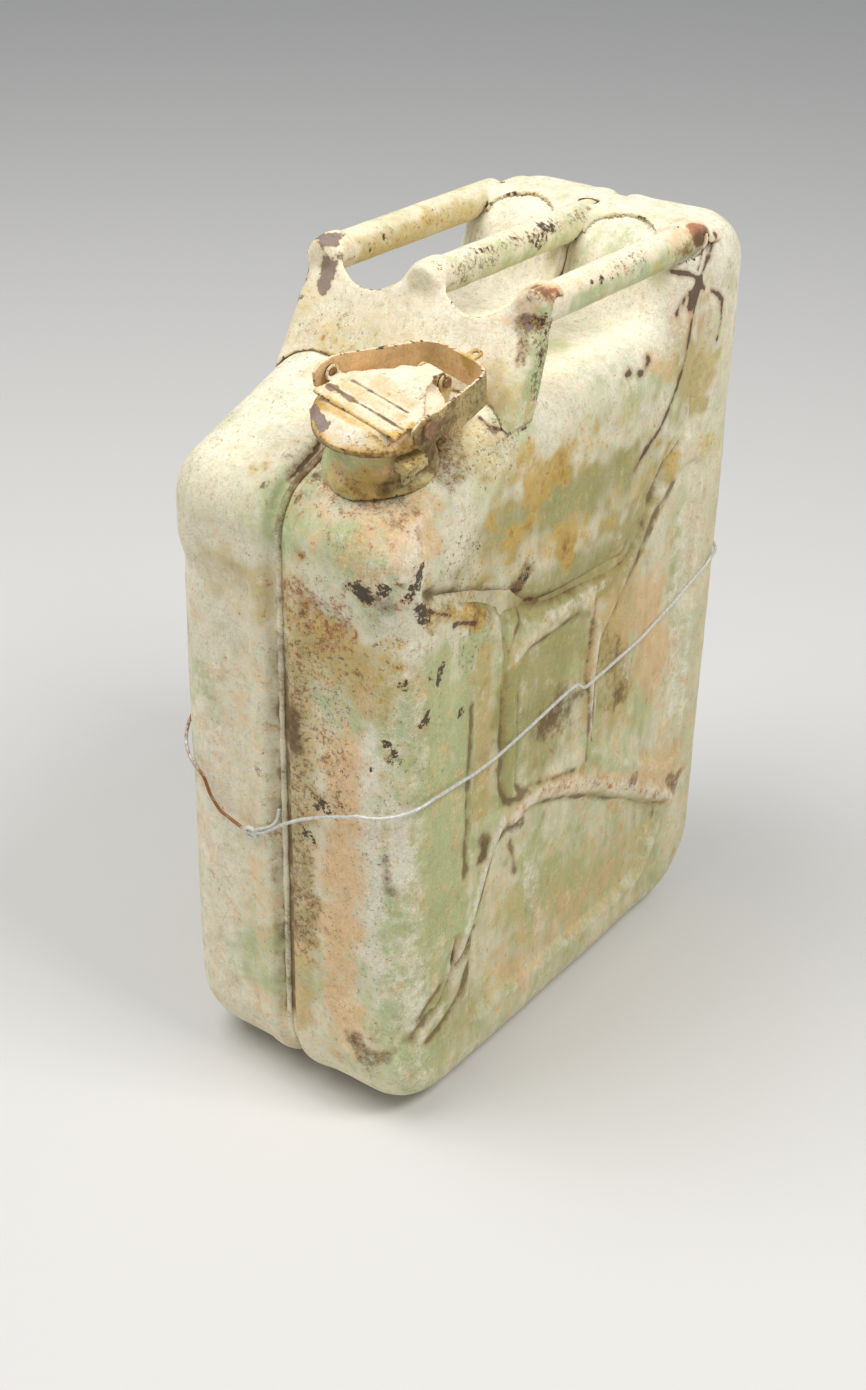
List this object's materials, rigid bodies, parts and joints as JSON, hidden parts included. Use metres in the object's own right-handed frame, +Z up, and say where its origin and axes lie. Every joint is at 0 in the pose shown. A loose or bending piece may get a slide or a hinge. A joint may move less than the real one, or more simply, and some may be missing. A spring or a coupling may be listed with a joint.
{
  "type": "steel fuel can",
  "caption": "Flat upright steel fuel can of pressed half shells, with tube handles, an angled spout and a hinged lid locked by a bail.",
  "frame": {"origin": "centre of the base, on the surface that the can stands on", "axes": "+Z up, -Y towards the narrow side with the spout, +X towards the broad side that the spout is nearer to"},
  "size_m": [0.1696, 0.3496, 0.4763],
  "materials": {
    "shell_paint": "matt cream over pale green, stained, chipped",
    "bracket_paint": "matt cream, rusted at the edges",
    "tube_paint": "matt cream with black speckles",
    "spout_paint": "pale green, brown dirt",
    "lid_paint": "cream worn to primer and rust",
    "bail_paint": "olive and rust brown",
    "worn_steel": "bare, dull",
    "wire_zinc": "galvanised",
    "gasket_rubber": "matt"
  },
  "bodies": {
    "root": {"left_shell": "shell_paint", "right_shell": "shell_paint", "seam_weld": "shell_paint", "front_handle_bracket": "bracket_paint", "rear_handle_saddle": "bracket_paint", "handle_tube_left": "tube_paint", "handle_tube_centre": "tube_paint", "handle_tube_right": "tube_paint", "spout_neck": "spout_paint", "cam_lug_left": "spout_paint", "cam_lug_right": "spout_paint", "hinge_lugs": "spout_paint", "hinge_pin": "worn_steel", "vent_pipe": "worn_steel", "wire_tie": "wire_zinc"},
    "lid": {"lid": "lid_paint", "lid_gasket": "gasket_rubber", "lid_strap": "lid_paint", "bail_pins": "worn_steel"},
    "bail": {"bail": "bail_paint"}
  },
  "joints": [
    {"name": "lid_hinge", "type": "hinge", "parent": "root", "child": "lid", "pos_m": [0.04679, -0.10058, 0.43949], "axis": [-0.9794, 0.1385, 0.1468], "range_deg": [0, 105]},
    {"name": "bail_pivot", "type": "hinge", "parent": "lid", "child": "bail", "pos_m": [0.04102, -0.13955, 0.43784], "axis": [0.9794, -0.1385, -0.1468], "range_deg": [0, 126]}
  ],
  "couplings": [
    {"joint": "bail_pivot", "follows": "lid_hinge", "ratio": 1.2}
  ]
}
